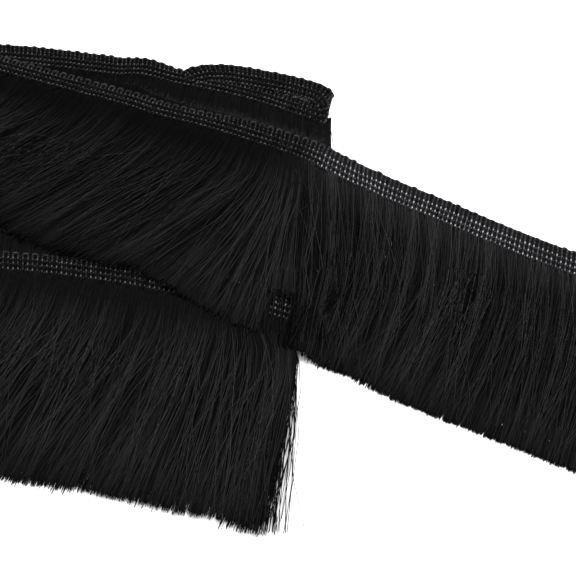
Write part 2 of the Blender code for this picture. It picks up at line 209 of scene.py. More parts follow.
def ease(share: Array) -> Array:
    """An even ease from 0 to 1."""
    share = np.clip(share, 0.0, 1.0)
    return share * share * (3.0 - 2.0 * share)


def mix(first: Array, second: Array, share: Array) -> Array:
    """The first with a share of the second."""
    return first * (1.0 - share) + second * share


def unit(vectors: Array) -> Array:
    """Vectors at length one."""
    return vectors / np.maximum(np.linalg.norm(vectors, axis=-1, keepdims=True), 1e-9)


def from_zero(values: Array) -> Array:
    """Values with a zero before them."""
    return np.concatenate(((0.0,), values))


def marks_along(points: Array) -> Array:
    """How far along their line some points are."""
    return from_zero(np.cumsum(np.linalg.norm(np.diff(points, axis=0), axis=1)))


def read_columns(at: Array, marks: Array, table: Array) -> list[Array]:
    """A table's columns, each read between the marks of its rows."""
    return [np.interp(at, marks, column) for column in table.T]


def read_points(at: Array, marks: Array, points: Array) -> Array:
    """Points read between their marks."""
    return np.stack(read_columns(at, marks, points), axis=-1)


def in_plan(places: Array, shift: Array) -> Array:
    """The x and the y that places in the frame have in the plan."""
    return np.moveaxis(places[..., :2] - shift, -1, 0)


def sideways_and_up(paths: Array) -> tuple[Array, Array]:
    """The level directions across some paths in space, and the upward ones square to both."""
    along = unit(np.gradient(paths, axis=1))
    side = unit(np.cross(along, UP))
    return side, np.cross(side, along)


def curve_through(stops: Array, steps: int) -> Array:
    """A smooth line through a few points.

    Args:
        stops: The points, one a row.
        steps: How many points stand for each stretch between two stops.

    Returns:
        The points of the line, the last stop among them.
    """
    guides = np.vstack((2.0 * stops[0] - stops[1], stops, 2.0 * stops[-1] - stops[-2]))
    t = np.linspace(0.0, 1.0, steps, endpoint=False)[:, None]
    stretches = []
    for a, b, c, d in zip(guides[:-3], guides[1:-2], guides[2:-1], guides[3:]):
        bend = (2.0 * a - 5.0 * b + 4.0 * c - d) * t**2 + (3.0 * b - 3.0 * c + d - a) * t**3
        stretches.append(0.5 * (2.0 * b + (c - a) * t + bend))
    return np.vstack((*stretches, stops[-1]))


class TrimLine:
    """A run's centre line, read by the distance along it, in the frame's millimetres."""

    STEPS = 16
    REACH = 1.5
    FOLD_EASE = 9.0

    def __init__(self, plan: RunPlan, shift: Array) -> None:
        """Lay the line.

        Args:
            plan: The run.
            shift: What brings the plan's points into the frame.
        """
        self.plan = plan
        self.shift = shift
        self.points = curve_through(np.array(plan.stops, float), self.STEPS) + shift
        self.marks = marks_along(self.points)
        self.length = float(self.marks[-1])

    def at(self, distance: Array) -> Array:
        """Points on the centre line."""
        return read_points(distance, self.marks, self.points)

    def in_plan(self, distance: Array) -> Array:
        """The x and the y of the centre line in the plan."""
        return in_plan(self.at(distance), self.shift)

    def along(self, distance: Array) -> Array:
        """The direction of the trim."""
        ahead = self.at(np.minimum(distance + self.REACH, self.length))
        return unit(ahead - self.at(np.maximum(distance - self.REACH, 0.0)))

    def back(self, distance: Array) -> Array:
        """The direction from the fringe to the selvedge."""
        along = self.along(distance)
        turned = np.stack((-along[..., 1], along[..., 0]), axis=-1)
        return turned if self.plan.to_right else -turned

    def offset(self, distance: Array, to_back: float) -> Array:
        """Points beside the centre line."""
        return self.at(distance) + to_back * self.back(distance)

    def sweep(self, distance: Array) -> list[Array]:
        """The root angle, the tip angle and the length of the strands that grow here."""
        table = np.array(self.plan.sweeps, float)
        return read_columns(self.in_plan(distance)[0], table[:, 0], table[:, 1:])

    def droop(self, distance: Array) -> tuple[Array, Array]:
        """How the heading droops, less and less towards the folds.

        Args:
            distance: Places along the run.

        Returns:
            The angle at the drooping selvedge, in radians, and how far the heading is lifted.
        """
        table = np.array(self.plan.droops, float)
        angle, lift = read_columns(self.in_plan(distance)[0], table[:, 0], table[:, 1:])
        free = ease(distance / self.FOLD_EASE) * ease((self.length - distance) / self.FOLD_EASE)
        return np.radians(angle) * free, lift * free


class Relief:
    """The top and bottom of a run's fringe on a square grid, carried over its gaps and softened."""

    CELL = 1.5
    MARGIN = 8.0
    SOFTEN = 2
    BELOW_ALL = -5.0

    def __init__(self, nodes: tuple[str, ...]) -> None:
        """Read the heights of a run's CAD nodes."""
        tree = surface_of(*nodes)
        corners = np.array([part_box(node) for node in nodes]) / MM
        low, high = corners[:, 0].min(axis=0), corners[:, 1].max(axis=0)
        self.low = low[:2] - self.MARGIN
        size = np.ceil((high[:2] + self.MARGIN - self.low) / self.CELL).astype(int) + 1
        heights = np.full((2, *size), np.nan)
        for i, j in np.ndindex(*size):
            x, y = self.low + self.CELL * np.array((i, j))
            top = height_at(tree, x, y, high[2] + 1.0)
            heights[:, i, j] = top, height_at(tree, x, y, self.BELOW_ALL, 1.0)
        self.grids = [spread(grid, self.SOFTEN) for grid in heights]

    def read(self, places: Array) -> list[Array]:
        """The fringe's top and bottom between the grid's points.

        Args:
            places: Points seen from above.

        Returns:
            The heights of the top, and those of the bottom.
        """
        spot = np.clip((places - self.low) / self.CELL, 0.0, np.array(self.grids[0].shape) - 1.001)
        index = spot.astype(int)
        i, j = np.moveaxis(index, -1, 0)
        s, t = np.moveaxis(spot - index, -1, 0)
        heights = []
        for grid in self.grids:
            near = mix(grid[i, j], grid[i + 1, j], s)
            far = mix(grid[i, j + 1], grid[i + 1, j + 1], s)
            heights.append(mix(near, far, t))
        return heights


def surface_of(*nodes: str) -> BVHTree:
    """The surface of some CAD nodes, ready for rays.

    Args:
        nodes: The nodes' names.

    Returns:
        Their faces in one tree.
    """
    corners: list[Vector] = []
    faces: list[list[int]] = []
    for node in nodes:
        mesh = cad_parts[node].data
        first = len(corners)
        corners.extend(vertex.co.copy() for vertex in mesh.vertices)
        faces.extend([first + index for index in face.vertices] for face in mesh.polygons)
    return BVHTree.FromPolygons(corners, faces)


def height_at(tree: BVHTree, x: float, y: float, start: float, way: float = -1.0) -> float:
    """The height at which a ray from the start, down or with a way of 1 up, meets a surface, or nan."""
    hit = tree.ray_cast(Vector((x * MM, y * MM, start * MM)), Vector((0.0, 0.0, way)))
    return hit[0].z / MM if hit[0] is not None else math.nan


def spread(grid: Array, soften: int) -> Array:
    """Carry known heights over the unknown ones, then average them with their neighbours.

    Args:
        grid: Heights, with nan where one is unknown.
        soften: How many times they are averaged.

    Returns:
        A grid that is known everywhere.
    """
    while np.isnan(grid).any():
        grid = np.where(np.isnan(grid), neighbour_mean(grid), grid)
    for _ in range(soften):
        grid = neighbour_mean(grid)
    return grid


def neighbour_mean(grid: Array) -> Array:
    """The mean of the known heights in each three by three block.

    Args:
        grid: Heights, with nan where one is unknown.

    Returns:
        The means, with nan where a block has no known height.
    """
    wide = np.pad(grid, 1, constant_values=np.nan)
    rows, columns = grid.shape
    known = np.zeros(grid.shape)
    total = np.zeros(grid.shape)
    for i, j in np.ndindex(3, 3):
        block = wide[i : i + rows, j : j + columns]
        known += ~np.isnan(block)
        total += np.nan_to_num(block)
    return np.where(known > 0, total / np.maximum(known, 1), np.nan)


class Pattern:
    """A small closed shape that is laid many times: its corners and faces."""

    def __init__(self, shell: bmesh.types.BMesh, sections: int = 0) -> None:
        """Keep a finished shell.

        Args:
            shell: The shape, which is used up.
            sections: How many sections a tube has, or 0 for a bead.
        """
        bmesh.ops.recalc_face_normals(shell, faces=shell.faces)
        shell.verts.index_update()
        self.corners = np.array([vertex.co for vertex in shell.verts])
        self.faces = [[vertex.index for vertex in face.verts] for face in shell.faces]
        self.sections = sections
        shell.free()

    @classmethod
    def tube(cls, around: int, sections: int) -> "Pattern":
        """A capped tube along Z with a number of sides and of even sections."""
        shell = bmesh.new()
        bmesh.ops.create_cone(
            shell, cap_ends=True, cap_tris=False, segments=around, radius1=1.0, radius2=1.0, depth=1.0
        )
        uprights = [edge for edge in shell.edges if abs(edge.verts[0].co.z - edge.verts[1].co.z) > 0.5]
        bmesh.ops.subdivide_edges(shell, edges=uprights, cuts=sections - 2)
        return cls(shell, sections)

    @classmethod
    def bead(cls, around: int) -> "Pattern":
        """A low round bead whose poles are on Z, with as many rings as sides."""
        shell = bmesh.new()
        bmesh.ops.create_uvsphere(shell, u_segments=around, v_segments=around, radius=1.0)
        return cls(shell)

    def rings(self) -> Array:
        """The section of a tube on which each corner stands."""
        return np.rint((self.corners[:, 2] + 0.5) * (self.sections - 1)).astype(int)


def lay_tubes(pattern: Pattern, centres: Array, sides: Array, ups: Array) -> Array:
    """Lay a tube along each path.

    Args:
        pattern: A tube with as many sections as a path has points.
        centres: Paths, (count, sections, 3).
        sides: The tubes' half widths as vectors, of the same shape.
        ups: Their half heights as vectors, of the same shape.

    Returns:
        The corners of every tube, (count, corners, 3).
    """
    ring = pattern.rings()
    x, y = (pattern.corners[:, axis][None, :, None] for axis in range(2))
    return centres[:, ring] + x * sides[:, ring] + y * ups[:, ring]


def lay_beads(pattern: Pattern, centres: Array, longs: Array, sides: Array, ups: Array) -> Array:
    """Lay a bead at each centre, with its three half sizes as vectors, (count, 3) each."""
    x, y, z = (pattern.corners[:, axis][None, :, None] for axis in range(3))
    return centres[:, None] + x * longs[:, None] + y * sides[:, None] + z * ups[:, None]


def show(name: str, data: bpy.types.ID) -> bpy.types.Object:
    """Put an object with this data into the scene."""
    thing = bpy.data.objects.new(name, data)
    bpy.context.scene.collection.objects.link(thing)
    return thing


@dataclass
class Gathering:
    """Laid copies of small shapes that become one piece."""

    corners: list[Array] = field(default_factory=list)
    loops: list[Array] = field(default_factory=list)
    sizes: list[Array] = field(default_factory=list)
    tones: list[Array] = field(default_factory=list)
    count: int = 0

    def add(self, pattern: Pattern, laid: Array, tone: Array) -> None:
        """Take in the copies of one shape.

        Args:
            pattern: The shape.
            laid: Its corners in millimetres, (count, corners, 3).
            tone: How light each copy is, (count,), or each of its corners, (count, corners).
        """
        copies, corners = laid.shape[:2]
        first = self.count + corners * np.arange(copies)
        loops = np.concatenate([np.array(face) for face in pattern.faces])
        sizes = np.array([len(face) for face in pattern.faces])
        self.corners.append(laid.reshape(-1, 3))
        self.loops.append((first[:, None] + loops[None, :]).ravel())
        self.sizes.append(np.tile(sizes, copies))
        self.tones.append(np.repeat(tone, corners) if tone.ndim == 1 else tone.ravel())
        self.count += copies * corners

    def add_with_painted_glint(self, pattern: Pattern, laid: Array, tone: Array) -> None:
        """Take in beads with a painted highlight: their rounded tops and undersides are painted lighter
        than their rims.

        Args:
            pattern: The bead.
            laid: Its corners in millimetres, (count, corners, 3).
            tone: How bright the painted highlight on each bead's crown is, (count,).
        """
        # Painted highlight on the crown and underside, painted shade on the rim.
        crown = ease((np.abs(pattern.corners[:, 2]) - 0.45) / 0.5)
        crown = crown * ease((0.85 - np.abs(pattern.corners[:, 0])) / 0.5)
        self.add(pattern, laid, tone[:, None] * (0.07 + 0.93 * crown)[None, :])

    def piece(self, name: str) -> bpy.types.Object:
        """Make the piece: one mesh with a tone at every corner.

        Args:
            name: Its name.

        Returns:
            The piece, in the scene.
        """
        mesh = bpy.data.meshes.new(name)
        corners = np.concatenate(self.corners) * MM
        loops = np.concatenate(self.loops)
        sizes = np.concatenate(self.sizes)
        mesh.vertices.add(len(corners))
        mesh.vertices.foreach_set("co", corners.astype(np.float32).ravel())
        mesh.loops.add(len(loops))
        mesh.loops.foreach_set("vertex_index", loops.astype(np.int32))
        mesh.polygons.add(len(sizes))
        mesh.polygons.foreach_set("loop_start", (np.cumsum(sizes) - sizes).astype(np.int32))
        mesh.update(calc_edges=True)
        mesh.validate()
        layer = mesh.attributes.new("tone", "FLOAT", "POINT")
        layer.data.foreach_set("value", np.concatenate(self.tones).astype(np.float32))
        mesh.shade_smooth()
        return show(name, mesh)


class Shading:
    """A material around one principled shader, to which nodes are added with their inputs."""

    def __init__(self, name: str) -> None:
        """Start the material."""
        self.material = bpy.data.materials.new(name)
        self.material.use_nodes = True
        self.tree = self.material.node_tree
        self.shader = self.tree.nodes["Principled BSDF"]

    def add(self, kind: str, inputs: dict[str | int, object], **options: str) -> bpy.types.Node:
        """Add a node.

        Args:
            kind: The node's type.
            inputs: For each input a value, or another node's output to link.
            options: The node's own settings.

        Returns:
            The node.
        """
        node = self.tree.nodes.new("ShaderNode" + kind)
        for option, value in options.items():
            setattr(node, option, value)
        self.feed(node, inputs)
        return node

    def feed(self, node: bpy.types.Node, inputs: dict[str | int, object]) -> None:
        """Give a node its inputs.

        Args:
            node: The node.
            inputs: For each input a value, or another node's output to link.
        """
        for key, given in inputs.items():
            if isinstance(given, Socket):
                self.tree.links.new(given, node.inputs[key])
            else:
                node.inputs[key].default_value = given

    def product(self, first: Socket, second: Socket | float) -> Socket:
        """Multiply two values."""
        return self.add("Math", {0: first, 1: second}, operation="MULTIPLY").outputs["Value"]

    def remap(
        self, value: Socket, low: float, high: float, start: float = 0.0, end: float = 1.0, **options: str
    ) -> Socket:
        """Bring a value that runs from the start to the end between low and high."""
        inputs = {"Value": value, "From Min": start, "From Max": end, "To Min": low, "To Max": high}
        return self.add("MapRange", inputs, **options).outputs["Result"]


@dataclass(frozen=True)
class YarnFinish:
    """Black yarn: its deep and its light colour, mixed by each corner's tone with its painted light and
    shade, its gloss, and the relief of its fine filaments.
    """

    name: str
    deep: Colour
    light: Colour
    roughness: float
    specular: float
    filament: float
    patch_scale: float = 600.0
    patch_shift: float = 40.0
    patch_span: tuple[float, float] = (0.36, 0.64)
    patchiness: float = 0.85
    shine_full: float = 0.4
    filament_scale: float = 5200.0
    filament_height: float = 0.00006

    def material(self) -> bpy.types.Material:
        """Build the node material: yarn whose lightness and shine follow each corner's tone, with its
        painted light and shade, broken by random patches that paint streaky highlights.
        """
        shading = Shading(self.name)
        place = shading.add("TexCoord", {}).outputs["Object"]
        tone = shading.add("Attribute", {}, attribute_name="tone").outputs["Fac"]
        dull = 0.02 * self.specular
        # The gloss follows the tone too, so painted shade also dulls it.
        shine = shading.remap(
            tone, dull, self.specular, end=self.shine_full, interpolation_type="SMOOTHSTEP"
        )
        own = shading.product(tone, self.patch_shift)
        patches = {"Scale": self.patch_scale, "Detail": 2.0, "Vector": place, "W": own}
        patch = shading.add("TexNoise", patches, noise_dimensions="4D").outputs["Fac"]
        # Random patches that paint broken highlight streaks along the yarn.
        highlight_streak = shading.remap(patch, 1.0 - self.patchiness, 1.0 + self.patchiness, *self.patch_span)
        lightness = shading.product(highlight_streak, tone)
        colours = {0: lightness, 6: self.deep, 7: self.light}
        filaments = {"Scale": self.filament_scale, "Detail": 2.0, "Vector": place}
        height = shading.add("TexNoise", filaments).outputs["Fac"]
        raised = {"Strength": self.filament, "Distance": self.filament_height, "Height": height}
        surface = {
            "Base Color": shading.add("Mix", colours, data_type="RGBA").outputs[2],
            "Roughness": shading.remap(patch, self.roughness + 0.12, self.roughness - 0.08),
            "Specular IOR Level": shine,
            "Normal": shading.add("Bump", raised).outputs["Normal"],
        }
        shading.feed(shading.shader, surface)
        return shading.material


# The strands' tone mixes their deep and light colour, with painted shade below other strands and at the
# roots, and painted light on straight roots.
FRINGE_YARN_WITH_PAINTED_LIGHT_AND_SHADE = YarnFinish(
    name="fringe_strands",
    deep=(0.0003, 0.0003, 0.0004, 1.0),
    light=(0.032, 0.032, 0.0335, 1.0),
    roughness=0.45, specular=0.015, filament=0.25,
)
# The light colour is the painted highlight on the stitches' crowns.
STITCH_YARN_WITH_PAINTED_LIGHT_AND_SHADE = YarnFinish(
    name="heading_stitches",
    deep=(0.0012, 0.0012, 0.0013, 1.0),
    light=(0.34, 0.34, 0.36, 1.0),
    roughness=0.30, specular=0.25, filament=0.3, patch_scale=1100.0, patchiness=0.6,
)
# Darker than the strands: black yarn with painted shade in the gaps between the stitch columns.
RIBBON_YARN_WITH_PAINTED_LIGHT_AND_SHADE = YarnFinish(
    name="heading_ground",
    deep=(0.0008, 0.0008, 0.0009, 1.0),
    light=(0.007, 0.007, 0.0074, 1.0),
    roughness=0.6, specular=0.002, filament=0.4,
)


@dataclass
class Fringe:
    """The strands of one CAD node, gathered in wisps that lie in the room of its locks.

    A loose strand strays from its wisp. A ground strand lies below, side by side with others, and
    belongs to no wisp. Leans are how many degrees tips usually turn from the sweep, with their own, their
    wisp's and their lock's share. They are calm beside one x.
    """

    plan: FringePlan
    line: TrimLine
    seed: int
    wisp_width: float = 1.7
    lock_width: float = 6.0
    strand_radius: float = 0.14
    tip_radius: float = 0.12
    root_inset: float = 0.5
    loose_share: float = 0.03
    loose_margin: float = 8.0
    ground_share: float = 0.4
    own_lean: float = 2.9
    wisp_lean: float = 0.7
    lock_lean: float = 1.1
    loose_lean: float = 9.0
    calm_x: float = 9.8
    calm_reach: float = 5.0
    own_spare: float = 0.8
    loose_cut: float = 7.0
    wave: float = 4.8
    loose_wave: float = 6.5
    sway: float = 0.16
    # How the painted shade deepens below other strands, and how it thins out at the tips.
    seen: float = 2.1
    least_tone: float = 0.08
    even_tone: float = 0.22
    tip_thinning: float = 0.6
    shares: tuple[float, ...] = (0.0, 0.07, 0.18, 0.34, 0.55, 0.78, 1.0)
    fine_steps: int = 60
    fine_places: int = 400
    most_fan: float = 3.0
    sweep_reach: float = 0.4
    late_reach: float = 0.45
    packed: float = 0.2
    root_lift: float = 0.1
    # Painted shade on the roots and on strands that lie over to the side.
    root_painted_shade: float = 0.62
    side_painted_shade: float = 0.42
    even_share: float = 0.18
    root_sink: float = 0.9

    def __post_init__(self) -> None:
        """Start the source of the irregularities, and place the sections along a strand."""
        self.chance = np.random.default_rng(self.seed)
        self.along = from_zero(self.shares)  # the first section lies inside the heading
        self.tip = ease((self.along - 0.7) / 0.3)

    def build(self) -> bpy.types.Object:
        """Lay every strand and make the piece."""
        relief = Relief(tuple(plan.node for plan in self.line.plan.fringes))
        distance, fan = self.places()
        draw = self.chance.random(len(distance))
        inner = (distance > self.loose_margin) & (distance < self.line.length - self.loose_margin)
        loose = (draw < self.loose_share) & inner
        ground = draw > 1.0 - self.ground_share
        paths = self.paths(distance, loose, ground)
        centres = self.lift(relief, distance, paths, 1.1 - 0.85 * draw**0.6)
        pattern = Pattern.tube(3, len(self.along))
        tones = self.tones(distance, draw, fan)[:, pattern.rings()]
        sides, ups = self.girth(centres, 1.0 + 0.55 * ground)
        heap = Gathering()
        heap.add(pattern, lay_tubes(pattern, centres, sides, ups), tones)
        return heap.piece(self.plan.node + "_strands")

    def tones(self, distance: Array, draw: Array, fan: Array) -> Array:
        """How light the strands are along their length.

        A strand is painted darker the deeper it lies and the closer its neighbours are: painted shade from
        the strands above it. Strands that lie over to the side catch less light, which is painted as
        shade, and the even roots are painted darker than the rest, or lighter where the heading is pulled
        straight.

        Args:
            distance: Where each strand grows.
            draw: How deep it lies, from 0 at the top to 1.
            fan: How much the strands fan out there.

        Returns:
            Tones, (count, sections).
        """
        along = self.along[None, :]
        # Painted shade: the more strands lie above one, the darker it is painted.
        crowd = self.plan.density * (0.5 + 0.5 * fan[:, None]) / (1.0 + (fan[:, None] - 1.0) * along)
        crowd = crowd * (1.0 - self.tip_thinning * self.tip)
        tone = self.least_tone + (1.0 - self.least_tone) * np.exp(-draw[:, None] * crowd / self.seen)
        tone = tone * (0.5 + 0.5 * self.chance.random((len(draw), 1)))
        # Painted shade on strands that lie over to the side and at the even roots, with painted light
        # where the heading is pulled straight.
        tip = self.line.sweep(distance)[1]
        facing = self.side_painted_shade + (1.0 - self.side_painted_shade) * np.sin(np.radians(tip)) ** 2
        straight = self.straight(distance)[:, None]
        level = self.root_painted_shade + self.plan.root_painted_light * straight
        tight = 1.0 - ease((along - 0.02) / (self.even_share * (1.5 - 0.6 * straight)))
        even = mix(tone, self.even_tone, 0.9 - 0.62 * straight) * level
        return facing[:, None] * mix(tone, even, tight)

    def straight(self, distance: Array) -> Array:
        """Where the heading is pulled straight and the strands turn late: from 0 to 1."""
        x, y = self.line.in_plan(distance)
        return ease((x - 4.0) / 20.0) * ease((90.0 - y) / 6.0)

    def places(self) -> tuple[Array, Array]:
        """Where the strands grow, closer together where they fan out.

        Returns:
            Each strand's distance along the run, and how much the strands fan out there.
        """
        end = self.plan.end if self.plan.end > 0.0 else self.line.length + self.plan.end
        fine = np.linspace(self.plan.start, end, self.fine_places)
        still = np.zeros((self.fine_places, 2))
        tips = self.strands(fine, still[:, 0], still[:, 0], still)[:, -1]
        travel = np.linalg.norm(np.gradient(tips, axis=0), axis=1)
        fan = np.minimum(travel / np.gradient(fine), self.most_fan)
        weight = np.convolve(np.pad(0.5 + 0.5 * fan, 8, mode="edge"), np.ones(17) / 17, mode="valid")
        total = from_zero(np.cumsum((weight[1:] + weight[:-1]) / 2 * np.diff(fine)))
        count = int(total[-1] * self.plan.density)
        ticks = (np.arange(count) + self.chance.random(count)) / count * total[-1]
        distance = np.interp(ticks, total, fine)
        return distance, np.maximum(np.interp(distance, fine, fan), 0.3)

    def paths(self, distance: Array, loose: Array, ground: Array) -> Array:
        """The strands seen from above.

        Args:
            distance: Where each strand grows.
            loose: Which strands are loose.
            ground: Which strands lie below.

        Returns:
            Points, (count, sections, 2), the first of them inside the heading.
        """
        chance = self.chance
        wisp_turn, wisp_spare, wisp_pull, wisp_place = self.groups(self.wisp_width, distance)
        lock_turn, lock_spare, _, _ = self.groups(self.lock_width, distance)
        count = len(distance)
        group_turn = np.where(ground, 0.0, self.wisp_lean * wisp_turn + self.lock_lean * lock_turn)
        turn = chance.normal(0.0, self.own_lean, count) * (1.0 + 2.4 * chance.random(count) ** 2)
        turn = turn * (1.0 - 0.25 * ground) + group_turn
        turn = turn + np.where(loose, chance.normal(0.0, self.loose_lean, count), 0.0)
        x, _ = self.line.in_plan(distance)
        turn = turn * (1.0 - 0.85 * np.exp(-(((x - self.calm_x) / self.calm_reach) ** 2)))
        spare = 0.5 * wisp_spare + 0.3 * lock_spare + chance.normal(0.0, self.own_spare, count)
        spare = spare * (1.0 - 0.5 * self.straight(distance))
        spare = np.where(loose, spare - self.loose_cut * chance.random(count), spare)
        strength = np.where(loose, self.loose_wave, self.wave - 1.2 * ground)
        wave = chance.normal(0.0, 1.0, (count, 2)) * strength[:, None]
        own = self.strands(distance, turn, spare, wave)
        shared = self.strands(wisp_place, group_turn, spare, 0.0 * wave)
        pull = np.where(loose | ground, 0.03, 0.03 + 0.22 * wisp_pull)
        pull = pull[:, None, None] * ease(np.array(self.shares) * 1.1)[None, :, None]
        inside = self.line.offset(self.rooted(distance), -(HALF_WIDTH - self.root_inset))
        return np.concatenate((inside[:, None], mix(own, shared, pull)), axis=1)

    def rooted(self, distance: Array) -> Array:
        """Where a strand leaves the heading, so that its root lies in the direction of its sweep.

        Args:
            distance: Where it grows from the root strip.

        Returns:
            Distances along the run.
        """
        front = -self.line.back(distance)
        along = self.line.along(distance)
        root = np.radians(self.line.sweep(distance)[0])
        way = np.stack((np.cos(root), np.sin(root)), axis=-1)
        slope = np.sum(way * along, axis=1) / np.maximum(np.sum(way * front, axis=1), 0.5)
        reach = STRIP_WIDTH + STRIP_GAP + self.root_inset
        return np.clip(distance - slope * reach, 0.3, self.line.length - 0.3)

    def groups(self, width: float, distance: Array) -> tuple[Array, Array, Array, Array]:
        """What the strands of one wisp or lock share.

        Args:
            width: How wide a group is along the heading.
            distance: Where each strand grows.

        Returns:
            For each strand its group's turn, spare length, pull and place along the heading.
        """
        total = int(self.line.length / width) + 3
        edges = (np.arange(total) + 0.7 * (self.chance.random(total) - 0.5)) * width
        index = np.clip(np.searchsorted(edges, distance), 1, total - 1)
        place = (edges[index] + edges[index - 1]) / 2
        turn = np.clip(self.chance.normal(0.0, 1.0, total), -2.0, 2.0)[index]
        spare = np.clip(self.chance.normal(0.0, 1.0, total), -2.0, 2.0)[index]
        return turn, spare, self.chance.random(total)[index], place

    def strands(self, distance: Array, turn: Array, spare: Array, wave: Array) -> Array:
        """Strands from the root strip's front edge, seen from above.

        Args:
            distance: Where each strand grows.
            turn: How many degrees its tip turns from the run's sweep.
            spare: What is added to its length.
            wave: The strength of its two slow bends, in degrees.

        Returns:
            Points at the shares, (count, shares, 2).
        """
        root, tip, length = self.line.sweep(distance)
        length = length + spare
        s = ((np.arange(self.fine_steps) + 0.5) / self.fine_steps)[None, :]
        reach = self.sweep_reach + self.late_reach * self.straight(distance)
        angle = root[:, None] + (tip + turn - root)[:, None] * ease(s / reach[:, None])
        angle = np.radians(angle + wave[:, :1] * np.sin(5.0 * s) + wave[:, 1:] * np.sin(9.0 * s + 1.0))
        step = (length / self.fine_steps)[:, None]
        travel = np.stack((np.cos(angle), np.sin(angle)), axis=-1) * step[..., None]
        start = self.line.offset(distance, -(HALF_WIDTH + STRIP_GAP + STRIP_WIDTH))
        line = np.concatenate((np.zeros((len(distance), 1, 2)), np.cumsum(travel, axis=1)), axis=1)
        picks = np.rint(np.array(self.shares) * self.fine_steps).astype(int)
        return start[:, None] + line[:, picks]

    def lift(self, relief: Relief, distance: Array, paths: Array, level: Array) -> Array:
        """Give the strands their heights inside the room of the locks.

        Args:
            relief: The locks' top and bottom.
            distance: Where each strand grows.
            paths: The strands seen from above.
            level: How high each strand lies, from 0 at the bottom to 1 at the top.

        Returns:
            Points, (count, sections, 3).
        """
        top, bottom = relief.read(paths)
        along = self.along[None, :]
        sway = self.sway * self.chance.normal(0.0, 1.0, (len(level), 1)) * np.sin(6.0 * along + 1.0)
        share = np.clip(level[:, None] + sway * along, 0.05, 1.25)
        tight = 1.0 - ease(along / self.packed)
        share = mix(share, 0.55 + 0.5 * level[:, None], tight)
        height = bottom + (top - bottom) * share + self.root_lift * tight
        lifted = self.line.droop(distance)[1]
        height[:, 0] += lifted - self.root_sink
        height[:, 1] += 0.6 * lifted
        height = np.maximum(height, 2.0 * self.strand_radius)
        return np.concatenate((paths, height[..., None]), axis=2)

    def girth(self, centres: Array, size: Array) -> tuple[Array, Array]:
        """The strands' girth, tapered and rolled.

        Args:
            centres: The strands.
            size: How thick each one is among the others.

        Returns:
            Their half widths and half heights, as vectors.
        """
        side, up = sideways_and_up(centres)
        radius = self.strand_radius + (self.tip_radius - self.strand_radius) * self.tip
        size = size * (0.8 + 0.4 * self.chance.random(len(centres)))
        radius = radius[None, :, None] * size[:, None, None]
        roll = 2.0 * math.pi * self.chance.random(len(centres))[:, None, None]
        sides = radius * (np.cos(roll) * side + np.sin(roll) * up)
        ups = radius * (-np.sin(roll) * side + np.cos(roll) * up)
        return sides, ups


